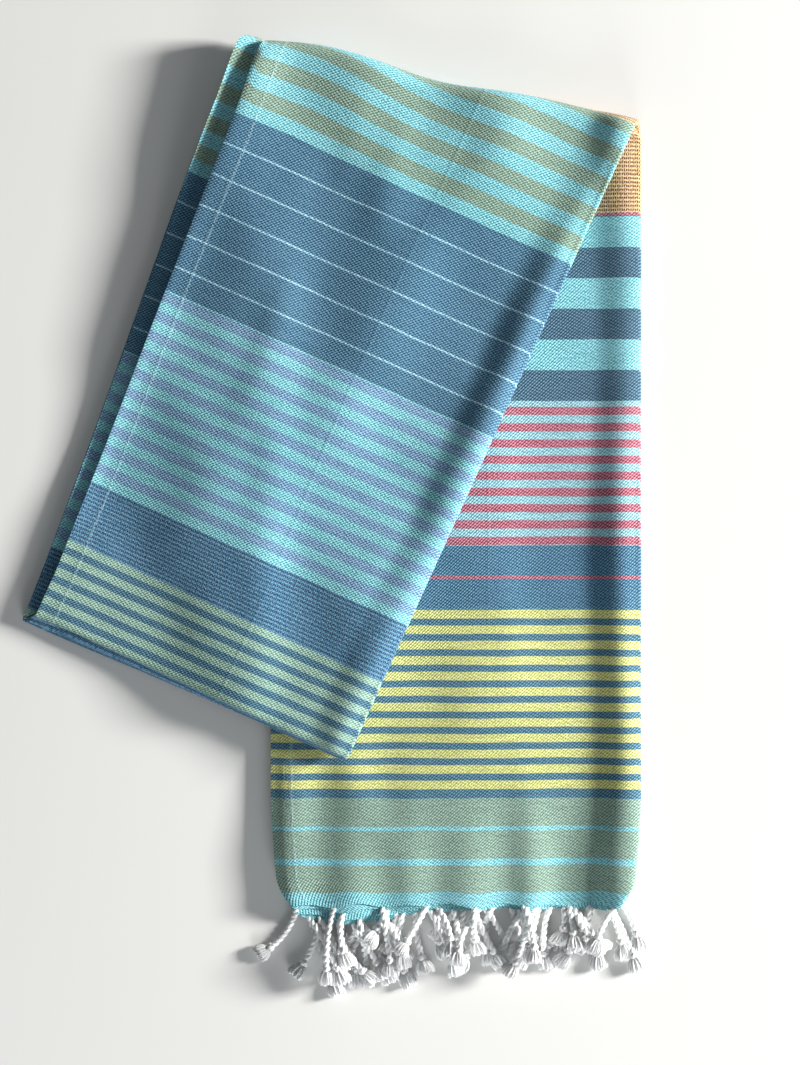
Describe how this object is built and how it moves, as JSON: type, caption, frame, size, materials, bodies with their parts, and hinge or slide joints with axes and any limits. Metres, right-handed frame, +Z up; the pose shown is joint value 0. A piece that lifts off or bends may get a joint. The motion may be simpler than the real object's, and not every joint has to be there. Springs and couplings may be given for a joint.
{
  "type": "folded bath towel",
  "caption": "Flat-woven striped cotton bath towel with a knotted white fringe, folded into a strip and over a slanted crease.",
  "frame": {"origin": "middle of the whole folded towel's box, on the table that it lies on", "axes": "+Z up from the table, +Y from the fringe towards the slanted crease, +X to the folded edge side"},
  "size_m": [0.3776, 0.5886, 0.0183],
  "materials": {
    "striped_cotton": "matte",
    "white_cotton": "matte"
  },
  "bodies": {
    "root": {"back_arm_cloth": "striped_cotton", "crease_bend": "striped_cotton", "front_arm_cloth": "striped_cotton", "leaf_1_tassel_1": "white_cotton", "leaf_1_tassel_2": "white_cotton", "leaf_1_tassel_3": "white_cotton", "leaf_1_tassel_4": "white_cotton", "leaf_1_tassel_5": "white_cotton", "leaf_1_tassel_6": "white_cotton", "leaf_1_tassel_7": "white_cotton", "leaf_2_tassel_1": "white_cotton", "leaf_2_tassel_2": "white_cotton", "leaf_2_tassel_3": "white_cotton", "leaf_2_tassel_4": "white_cotton", "leaf_2_tassel_5": "white_cotton", "leaf_2_tassel_6": "white_cotton", "leaf_2_tassel_7": "white_cotton", "leaf_3_tassel_1": "white_cotton", "leaf_3_tassel_2": "white_cotton", "leaf_3_tassel_3": "white_cotton", "leaf_3_tassel_4": "white_cotton", "leaf_3_tassel_5": "white_cotton", "leaf_3_tassel_6": "white_cotton", "leaf_3_tassel_7": "white_cotton", "leaf_4_tassel_1": "white_cotton", "leaf_4_tassel_2": "white_cotton", "leaf_4_tassel_3": "white_cotton", "leaf_4_tassel_4": "white_cotton", "leaf_4_tassel_5": "white_cotton", "leaf_4_tassel_6": "white_cotton", "leaf_4_tassel_7": "white_cotton", "leaf_5_tassel_1": "white_cotton", "leaf_5_tassel_2": "white_cotton", "leaf_5_tassel_3": "white_cotton", "leaf_5_tassel_4": "white_cotton", "leaf_5_tassel_5": "white_cotton", "leaf_5_tassel_6": "white_cotton", "leaf_5_tassel_7": "white_cotton", "leaf_6_tassel_1": "white_cotton", "leaf_6_tassel_2": "white_cotton", "leaf_6_tassel_3": "white_cotton", "leaf_6_tassel_4": "white_cotton", "leaf_6_tassel_5": "white_cotton", "leaf_6_tassel_6": "white_cotton", "leaf_6_tassel_7": "white_cotton", "leaf_7_tassel_1": "white_cotton", "leaf_7_tassel_2": "white_cotton", "leaf_7_tassel_3": "white_cotton", "leaf_7_tassel_4": "white_cotton", "leaf_7_tassel_5": "white_cotton", "leaf_7_tassel_6": "white_cotton", "leaf_7_tassel_7": "white_cotton", "leaf_8_tassel_1": "white_cotton", "leaf_8_tassel_2": "white_cotton", "leaf_8_tassel_3": "white_cotton", "leaf_8_tassel_4": "white_cotton", "leaf_8_tassel_5": "white_cotton", "leaf_8_tassel_6": "white_cotton", "leaf_8_tassel_7": "white_cotton"}
  },
  "joints": []
}
